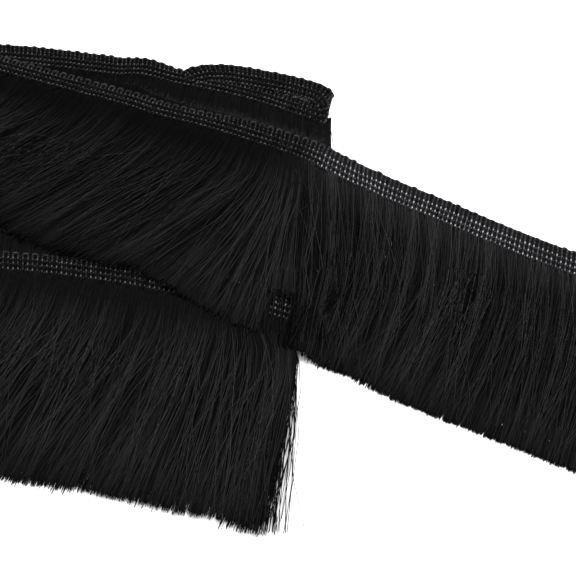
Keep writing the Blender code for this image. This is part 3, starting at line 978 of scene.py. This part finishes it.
@dataclass
class HeadingPath:
    """The heading's centre line in space, from the first cut end to the last.

    Each section is a row: its centre, its directions to the selvedge and of the face, its droop's angle
    and lift, and how its line is skewed beside a fold.
    """

    CENTRE = slice(0, 3)
    BACK = slice(3, 6)
    FACE = slice(6, 9)
    DROOP = slice(9, 11)
    SKEW = slice(11, 13)

    lines: list[TrimLine]
    section_step: float = 2.5
    fold_sections: int = 9
    skew_reach: float = 6.0
    probe: float = 30.0
    most_step: float = 1.3
    direction_reach: float = 0.4

    def __post_init__(self) -> None:
        """Lay the runs and the folds between them."""
        tree = surface_of("heading")
        levels = [self.levels(line, tree) for line in self.lines]
        folds = [self.fold_line(a, b) for a, b in zip(self.lines[:-1], self.lines[1:])]
        turns = [a.plan.skew * self.outward(a, fold) for a, fold in zip(self.lines, folds)]
        blocks: list[Array] = []
        face = 1.0
        for index, (line, (places, heights)) in enumerate(zip(self.lines, levels)):
            ends = ((index - 1, places), (index, line.length - places))
            ends = [(folds[k], turns[k], away) for k, away in ends if 0 <= k < len(folds)]
            back = self.turned_backs(line, places, ends)
            faces = np.tile((0.0, 0.0, 0.0, face), (len(places), 1))  # from the back's z onwards
            skew = sum(np.outer(np.exp(-((away / self.skew_reach) ** 2)), turn) for _, turn, away in ends)
            droop = line.droop(places)
            blocks.append(np.column_stack((line.at(places), heights, back, faces, *droop, skew)))
            if index < len(folds):
                span = (heights[-1], levels[index + 1][1][0])
                blocks.append(self.fold(line, span, face, folds[index], turns[index]))
                face = -face
        self.sections = np.vstack(blocks)
        self.marks = marks_along(self.sections[:, self.CENTRE])

    def levels(self, line: TrimLine, tree: BVHTree) -> tuple[Array, Array]:
        """Where the sections of a run stand along it, and the height of its middle there.

        The root strip is at the heading's own height, so it tells which layer is meant. From the middle
        of the run to its ends, each section is looked for just above the one before it.

        Args:
            line: The run.
            tree: The heading's surface.

        Returns:
            Distances along the run, and heights.
        """
        count = int(round(line.length / self.section_step)) + 1
        places = np.linspace(0.0, line.length, count)
        strips = surface_of(*[plan.node for plan in line.plan.fringes])
        heights = np.zeros(count)
        middle = count // 2
        x, y = line.offset(places[middle], -(HALF_WIDTH + STRIP_GAP + STRIP_WIDTH / 2))
        heights[middle] = height_at(strips, x, y, self.probe) - HEADING_THICKNESS / 2
        for order in (range(middle + 1, count), range(middle - 1, -1, -1)):
            guess = heights[middle]
            for index in order:
                x, y = line.at(places[index])
                found = height_at(tree, x, y, guess + HEADING_THICKNESS / 2 + 1.0)
                found = found - HEADING_THICKNESS / 2 + HEADING_GROOVE * 0.6
                if abs(found - guess) < self.most_step:
                    guess = found
                heights[index] = guess
        return places, heights

    @staticmethod
    def fold_line(line: TrimLine, following: TrimLine) -> Array:
        """The direction of the line on which one run turns over into the next."""
        return unit(line.back(np.array(line.length)) + following.back(np.array(0.0)))

    @staticmethod
    def outward(line: TrimLine, fold: Array) -> Array:
        """The direction square to a fold's line in which the trim runs up to it."""
        outward = np.array((-fold[1], fold[0]))
        return outward * np.sign(np.dot(outward, line.along(np.array(line.length))))

    @staticmethod
    def turned_backs(line: TrimLine, places: Array, ends: list[tuple[Array, Array, Array]]) -> Array:
        """The run's directions to the selvedge, turned to the fold's line near a fold.

        Args:
            line: The run.
            places: Distances along it.
            ends: For each fold beside it the fold's line, its skew, and how far away the places are.

        Returns:
            Directions, which keep the heading's width.
        """
        back = line.back(places)
        for fold, _, away in ends:
            share = (1.0 - ease(away / line.FOLD_EASE))[:, None]
            turned = unit(mix(back, fold, share))
            back = turned / np.sum(turned * line.back(places), axis=1, keepdims=True)
        return back

    def fold(
        self, line: TrimLine, span: tuple[float, float], face: float, fold: Array, skew: Array
    ) -> Array:
        """The sections around a fold.

        Args:
            line: The run that ends here.
            span: The heights of its end and of the next run's start.
            face: 1 if the trim's face is up before the fold, or -1.
            fold: The direction of the fold's line.
            skew: How that line is skewed.

        Returns:
            The sections' rows.
        """
        middle = (span[0] + span[1]) / 2
        radius = abs(span[1] - span[0]) / 2
        rising = 1.0 if span[1] > span[0] else -1.0
        outward = self.outward(line, fold)
        end = np.array(line.length)
        back = fold / np.dot(fold, line.back(end))
        angle = math.pi * (np.arange(1, self.fold_sections + 1) / (self.fold_sections + 1) - 0.5)
        radial = np.column_stack((np.outer(np.cos(angle), outward), rising * np.sin(angle)))
        centres = np.array((*line.at(end), middle)) + radius * radial
        backs = np.tile((*back, 0.0), (self.fold_sections, 1))
        undrooped = np.tile((0.0, 0.0, *skew), (self.fold_sections, 1))
        return np.hstack((centres, backs, -face * rising * radial, undrooped))

    def read(self, marks: Array, across: Array) -> tuple[Array, Array, Array, Array]:
        """Points on the heading's middle surface, with the local directions.

        Args:
            marks: Places along the path.
            across: How far each point is from the centre line, to the back.

        Returns:
            The points, and there the direction of the trim, the back and the face.
        """
        ahead = self.between(self.CENTRE, marks + self.direction_reach)
        along = unit(ahead - self.between(self.CENTRE, marks - self.direction_reach))
        back = self.between(self.BACK, marks)
        face = unit(self.between(self.FACE, marks))
        droop = self.between(self.DROOP, marks)
        angle, lift = droop[..., 0], droop[..., 1]
        share = np.clip(across / HEADING_WIDTH + 0.5, 0.0, 1.1)
        drawn = HEADING_WIDTH * (angle**2 * share**4 / 8.0 - angle**4 * share**7 / 168.0)
        fallen = HEADING_WIDTH * (angle * share**2.5 / 2.5 - angle**3 * share**5.5 / 33.0)
        point = self.between(self.CENTRE, marks) + back * (across - drawn)[..., None]
        point[..., 2] += lift - fallen
        point[..., :2] += self.between(self.SKEW, marks) * np.asarray(across)[..., None]
        turn = (angle * share**1.5)[..., None]
        turned = np.cos(turn) * back - np.sin(turn) * UP
        side = np.sign(face[..., 2:]) * np.sin(turn) * unit(back)
        return point, along, turned, np.cos(turn) * face + side

    def between(self, columns: slice, marks: Array) -> Array:
        """Read some of the sections' columns at any place."""
        return read_points(marks, self.marks, self.sections[:, columns])


@dataclass
class Heading:
    """The knitted heading: its ground, its columns of stitches and its looped selvedge.

    Rows are given by how far they are from the centre line, to the back. A bead's sizes are its half
    length, half width and half height.
    """

    path: HeadingPath
    shift: Array
    seed: int = 31
    rows: tuple[float, ...] = (0.45, -2.35, -5.05)
    bead: Size = (0.92, 0.46, 0.90)
    link: Size = (0.40, 0.30, 0.76)
    knot: Size = (0.62, 0.34, 0.80)
    knot_rows: tuple[float, ...] = (2.3, 3.9)
    column_radius: tuple[float, float] = (0.46, 0.60)
    column_sections: int = 5
    loop_radius: tuple[float, float] = (0.46, 0.72)
    loop_sections: int = 9
    slant: float = 0.23
    ground_half: tuple[float, float] = (5.2, 0.3)

    def __post_init__(self) -> None:
        """Start the gathering of the stitches, and the source of their irregularities."""
        self.heap = Gathering()
        self.chance = np.random.default_rng(self.seed)

    def ground(self) -> bpy.types.Object:
        """The thin ribbon behind the stitches."""
        pattern = Pattern.tube(20, len(self.path.marks))
        across = self.ground_half[0] * pattern.corners[:, 0]
        point, _, _, face = self.path.read(self.path.marks[pattern.rings()], across)
        laid = point + face * (self.ground_half[1] * pattern.corners[:, 1])[:, None]
        # Painted light: the ribbon is lighter where the trim lies free and faces the light.
        tone = 0.3 + 0.45 * self.free(point)
        heap = Gathering()
        heap.add(pattern, laid[None], tone[None])
        return heap.piece("heading_ribbon")

    def slack(self, centres: Array) -> Array:
        """Where the trim lies slack, so that its stitches lean over along it: from 0 to 1."""
        x, y = in_plan(centres, self.shift)
        return (1.0 - ease((x + 12.0) / 22.0)) * ease((y - 40.0) / 20.0)

    def free(self, centres: Array) -> Array:
        """Where the trim lies free and straight and faces the light: from 0 to 1."""
        x, y = in_plan(centres, self.shift)
        return ease((x - 6.0) / 14.0) * ease((84.0 - y) / 8.0) * (1.0 - 0.45 * ease((x - 85.0) / 30.0))

    def shine(self, centres: Array) -> Array:
        """How much a stitch catches the light: most on the free run, least under the upper tier.

        Args:
            centres: The stitches' places.

        Returns:
            Tones.
        """
        x, y = in_plan(centres, self.shift)
        # Painted light by where the stitch lies, and painted shade where the upper tier lies over it.
        right = ease((x + 8.0) / 3.0)
        low = ease((6.0 - y) / 4.0)
        painted_shade_under_tier = ease((x + 44.0) / 6.0) * (1.0 - right) * low
        front = 0.06 * ease((40.0 - y) / 20.0)
        light = 0.12 + front + 0.03 * self.slack(centres) + 0.66 * self.free(centres) + 0.08 * right * low
        return light * (1.0 - 0.85 * painted_shade_under_tier)

    def spots(self, marks: Array, across: Array) -> tuple[Array, Array, Array, Array]:
        """Points on the heading's middle, where its columns slant.

        Args:
            marks: Places along the heading.
            across: How far each point is from the centre line, to the back.

        Returns:
            The points, and there the trim's direction, its back and its face.
        """
        face = self.path.between(self.path.FACE, marks)
        return self.path.read(marks - self.slant * across * face[..., 2], across)

    def stitches(self) -> bpy.types.Object:
        """The columns of chain stitches and the selvedge."""
        marks = np.arange(COURSE / 2, self.path.marks[-1] - COURSE / 2, COURSE)
        bead = Pattern.bead(5)
        link = Pattern.bead(4)
        for index, row in enumerate(self.rows):
            self.row(bead, self.bead, marks, row, index > 0)
            self.row(link, self.link, marks + 0.46 * COURSE, row - 0.55)
        for row in self.knot_rows:
            self.row(link, self.knot, marks, row)
        self.columns(marks)
        self.selvedge()
        return self.heap.piece("heading_stitches")

    def row(self, pattern: Pattern, sizes: Size, marks: Array, across: float, leans: bool = False) -> None:
        """One row of stitches or of the small links between them.

        Args:
            pattern: A bead.
            sizes: Its sizes.
            marks: Places along the heading.
            across: The row.
            leans: Whether its stitches lie over where the trim is slack.
        """
        chance = self.chance
        count = len(marks)
        marks = marks + chance.normal(0.0, 0.05, count)
        spot, along, back, face = self.spots(marks, across + chance.normal(0.0, 0.08, count))
        slack = self.slack(spot) * leans
        upright = np.arctan2(1.0, -self.slant * face[:, 2])
        lean = upright + (np.radians(20.0) * np.sign(face[:, 2]) - upright) * slack
        lean = (lean + chance.normal(0.0, 0.12, count))[:, None]
        side = unit(back)
        long = np.cos(lean) * along + np.sin(lean) * side
        cross = -np.sin(lean) * along + np.cos(lean) * side
        length = sizes[0] * (1.0 - 0.15 * slack + 0.08 * chance.normal(0.0, 1.0, count))[:, None]
        laid = lay_beads(pattern, spot, long * length, cross * sizes[1], face * sizes[2])
        tone = self.shine(spot) * (0.35 + 1.3 * chance.random(count))
        # Painted shade: the links are darker on the free run, in the gaps between the stitches; the knots
        # get painted light and shade by where the trim lies.
        if sizes is self.link:
            tone = tone * (0.9 - 0.4 * self.free(spot))
        elif sizes is self.knot:
            tone = tone * (1.0 - 0.85 * self.free(spot) + 0.4 * self.slack(spot))
        self.heap.add_with_painted_glint(pattern, laid, tone)

    def columns(self, marks: Array) -> None:
        """The threads that run across the heading under the stitches and join them.

        Args:
            marks: Places along the heading.
        """
        sections = self.column_sections
        reach = np.linspace(HALF_WIDTH - 2.0, -(HALF_WIDTH - 0.1), sections)
        across = np.tile(reach, (len(marks), 1))
        spots, along, _, face = self.spots(np.tile(marks[:, None], (1, sections)), across)
        pattern = Pattern.tube(5, sections)
        laid = lay_tubes(pattern, spots, along * self.column_radius[0], face * self.column_radius[1])
        middle = spots[:, sections // 2]
        # Painted light: the columns are lighter where the trim lies free, and darker where it is slack.
        level = 0.08 + 0.12 * (1.0 - self.slack(middle)) + 0.8 * self.free(middle)
        self.heap.add(pattern, laid, (0.03 + 0.06 * self.chance.random(len(marks))) * level)

    def selvedge(self) -> None:
        """The loops along the back edge, each from one column to the next but one column free."""
        sections = self.loop_sections
        marks = np.arange(COURSE, self.path.marks[-1] - COURSE, 2.0 * COURSE)
        turn = np.linspace(0.0, math.pi, sections)
        sidestep = -0.62 * COURSE * np.sign(np.cos(turn)) * np.abs(np.cos(turn)) ** 0.7
        height = HALF_WIDTH - 3.4 + 3.35 * np.sin(turn) ** 0.4
        wobble = 1.0 + 0.04 * self.chance.normal(0.0, 1.0, (len(marks), 1))
        spots, _, _, face = self.spots(marks[:, None] + sidestep[None, :], height[None, :] * wobble)
        side = unit(np.cross(unit(np.gradient(spots, axis=1)), face))
        pattern = Pattern.tube(6, sections)
        laid = lay_tubes(pattern, spots, side * self.loop_radius[0], face * self.loop_radius[1])
        free = self.free(spots[:, sections // 2])
        # Painted light: the loops are lighter where the trim lies free, and elsewhere their crests carry a
        # painted highlight.
        tone = (0.03 + 0.05 * self.chance.random(len(marks))) * (0.45 + 0.55 * free)
        painted_crest_highlight = 1.0 + 1.6 * (1.0 - free)[:, None] * ease((np.sin(turn)[None, :] - 0.5) / 0.5)
        self.heap.add(pattern, laid, (tone[:, None] * painted_crest_highlight)[:, pattern.rings()])


@dataclass
class Strays:
    """The long stray hairs on top of the bundle, and the fuzz along the top run's selvedge."""

    top_run: TrimLine
    seed: int = 77
    radius: float = 0.09
    sections: int = 25
    curve_steps: int = 12
    clearance: float = 0.9
    fuzz_radius: float = 0.05
    fuzz_sections: int = 6
    fuzz_count: int = 800
    fuzz_start: float = 70.0
    fuzz_reach: float = 106.0

    def build(self) -> bpy.types.Object:
        """Lay the stray hairs and the fuzz."""
        self.heap = Gathering()
        self.chance = np.random.default_rng(self.seed)
        self.tree = surface_of(*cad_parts)
        self.hairs()
        self.fuzz()
        return self.heap.piece("stray_hairs")

    def hairs(self) -> None:
        """The long hairs, each just clear of what lies below it."""
        paths = []
        for stops in STRAYS:
            line = curve_through(np.array(stops, float), self.curve_steps) + self.top_run.shift
            share = np.linspace(0.0, len(line) - 1.0, self.sections)
            flat = read_points(share, np.arange(len(line)), line)
            tops = np.array([height_at(self.tree, x, y, ABOVE_ALL) for x, y in flat])
            tops = np.where(np.isnan(tops), 0.0, tops) + self.clearance
            tops = np.convolve(np.pad(tops, 2, mode="edge"), np.ones(5) / 5, mode="valid")
            paths.append(np.column_stack((flat, tops)))
        self.lay(np.array(paths), self.radius, 0.9 + 0.1 * self.chance.random(len(paths)))

    def fuzz(self) -> None:
        """Short frizzy hairs behind the selvedge of the top run."""
        chance = self.chance
        line = self.top_run
        distance = self.fuzz_start + self.fuzz_reach * np.sqrt(chance.random(self.fuzz_count))
        root = line.offset(distance, HALF_WIDTH - 0.6)
        height = np.array([height_at(self.tree, x, y, ABOVE_ALL) for x, y in root])
        keep = ~np.isnan(height)
        root, height, distance = root[keep], height[keep], distance[keep]
        count = len(root)
        back = line.back(distance)
        angle = np.arctan2(back[:, 1], back[:, 0]) + chance.normal(0.0, 0.6, count)
        bend = chance.normal(0.0, 0.9, count)
        length = 1.0 + 3.0 * chance.random(count) ** 2
        s = np.linspace(0.0, 1.0, self.fuzz_sections)
        heading = angle[:, None] + bend[:, None] * s[None, :]
        step = (length / (self.fuzz_sections - 1))[:, None]
        x = root[:, :1] + np.cumsum(np.cos(heading) * step, axis=1)
        y = root[:, 1:] + np.cumsum(np.sin(heading) * step, axis=1)
        z = (height - 0.5)[:, None] + 0.6 * np.sin(2.2 * s)[None, :] * chance.random((count, 1))
        self.lay(np.stack((x, y, z), axis=-1), self.fuzz_radius, 0.3 + 0.7 * chance.random(count))

    def lay(self, centres: Array, radius: float, tone: Array) -> None:
        """Lay thin round hairs along paths.

        Args:
            centres: The paths, (count, sections, 3).
            radius: The hairs' radius.
            tone: How light each one is.
        """
        pattern = Pattern.tube(3, centres.shape[1])
        side, up = sideways_and_up(centres)
        self.heap.add(pattern, lay_tubes(pattern, centres, side * radius, up * radius), tone)


@dataclass
class Studio:
    """A pale floor, soft lights and the camera."""

    aim: Array
    distance: float = 0.518
    elevation: float = 55.0
    lens: float = 82.56
    sensor: float = 36.0
    floor_half: float = 6.0
    floor_depth: float = 0.0002
    floor_tint: tuple[float, float] = (0.95, 0.97)
    surround: float = 0.35

    def build(self) -> None:
        """Set up everything that isn't the trim."""
        self.floor()
        self.light("key_light", (0.45, 0.6, 1.1), 0.35, 16.0)
        self.light("top_light", (0.1, 0.0, 1.3), 0.8, 16.0)
        self.light("front_fill", (0.2, -1.1, 0.9), 0.8, 6.0)
        self.surroundings()
        self.camera()

    def floor(self) -> None:
        """A wide pale floor under the trim."""
        shell = bmesh.new()
        bmesh.ops.create_grid(shell, x_segments=1, y_segments=1, size=self.floor_half)
        bmesh.ops.translate(shell, verts=shell.verts, vec=(0.0, 0.0, -self.floor_depth))
        mesh = bpy.data.meshes.new("floor")
        shell.to_mesh(mesh)
        shell.free()
        floor = show("floor", mesh)
        shading = Shading("pale_floor")
        place = shading.add("TexCoord", {}).outputs["Object"]
        grain = shading.add("TexNoise", {"Scale": 40.0, "Vector": place}).outputs["Fac"]
        tint = shading.remap(grain, *self.floor_tint)
        shading.feed(shading.shader, {"Base Color": tint, "Roughness": 0.9, "Specular IOR Level": 0.1})
        mesh.materials.append(shading.material)

    @staticmethod
    def light(name: str, place: Size, size: float, power: float) -> None:
        """A soft square light that faces the trim.

        Args:
            name: Its name.
            place: Where it hangs.
            size: Its side.
            power: Its strength in watts.
        """
        lamp = bpy.data.lights.new(name, "AREA")
        lamp.size = size
        lamp.energy = power
        thing = show(name, lamp)
        thing.location = place
        thing.rotation_euler = Vector(place).to_track_quat("Z", "Y").to_euler()

    def surroundings(self) -> None:
        """An even white surround."""
        world = bpy.data.worlds.new("white_surround")
        world.use_nodes = True
        sky = world.node_tree.nodes["Background"]
        sky.inputs["Color"].default_value = (1.0, 1.0, 1.0, 1.0)
        sky.inputs["Strength"].default_value = self.surround
        bpy.context.scene.world = world
        bpy.context.scene.view_settings.view_transform = "Standard"

    def camera(self) -> None:
        """The camera, in front of the trim and above it."""
        lens = bpy.data.cameras.new("camera")
        lens.lens = self.lens
        lens.sensor_width = self.sensor
        lens.sensor_fit = "HORIZONTAL"
        camera = show("camera", lens)
        tilt = math.radians(self.elevation)
        offset = np.array((0.0, -math.cos(tilt), math.sin(tilt))) * self.distance
        camera.location = np.array((*self.aim * MM, 0.0)) + offset
        camera.rotation_euler = (math.pi / 2 - tilt, 0.0, 0.0)
        bpy.context.scene.camera = camera


def plan_shift() -> Array:
    """What brings the plan into the frame: the free cut end's back corner is the heading's rightmost."""
    line = TrimLine(BACK_UPPER, np.zeros(2))
    corner = line.offset(np.array(line.length), HALF_WIDTH)
    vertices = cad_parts["heading"].data.vertices
    right = max((vertex.co for vertex in vertices), key=lambda place: place.x)
    return np.array((right.x, right.y)) / MM - corner


def dress(piece: bpy.types.Object, material: bpy.types.Material) -> None:
    """Give a finished piece its material and its body, and report it.

    Args:
        piece: The piece.
        material: Its finish.
    """
    piece.data.materials.append(material)
    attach(piece, BODY)
    triangles = sum(len(face.vertices) - 2 for face in piece.data.polygons)
    LOG.info("%s: %d triangles", piece.name, triangles)


def main() -> None:
    """Build the trim's pieces around the CAD nodes."""
    logging.basicConfig(level=logging.INFO, format="%(message)s")
    shift = plan_shift()
    LOG.info("the plan's place in the frame: %s mm", np.round(shift, 3))
    Studio(shift).build()
    lines = [TrimLine(run, shift) for run in TRIM]
    fringe_material = FRINGE_YARN_WITH_PAINTED_LIGHT_AND_SHADE.material()
    stitch_material = STITCH_YARN_WITH_PAINTED_LIGHT_AND_SHADE.material()

    stretches = [(plan, line) for line in lines for plan in line.plan.fringes]
    for seed, (plan, line) in enumerate(stretches, start=FIRST_SEED):
        piece = Fringe(plan, line, seed).build()
        dress(piece, fringe_material)
        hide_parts(plan.node)

    path = HeadingPath(lines)
    heading = Heading(path, shift)
    stitches = heading.stitches()
    dress(stitches, stitch_material)
    ribbon = heading.ground()
    dress(ribbon, RIBBON_YARN_WITH_PAINTED_LIGHT_AND_SHADE.material())
    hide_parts("heading")
    hairs = Strays(lines[-1]).build()
    dress(hairs, fringe_material)


if __name__ == "__main__":
    main()
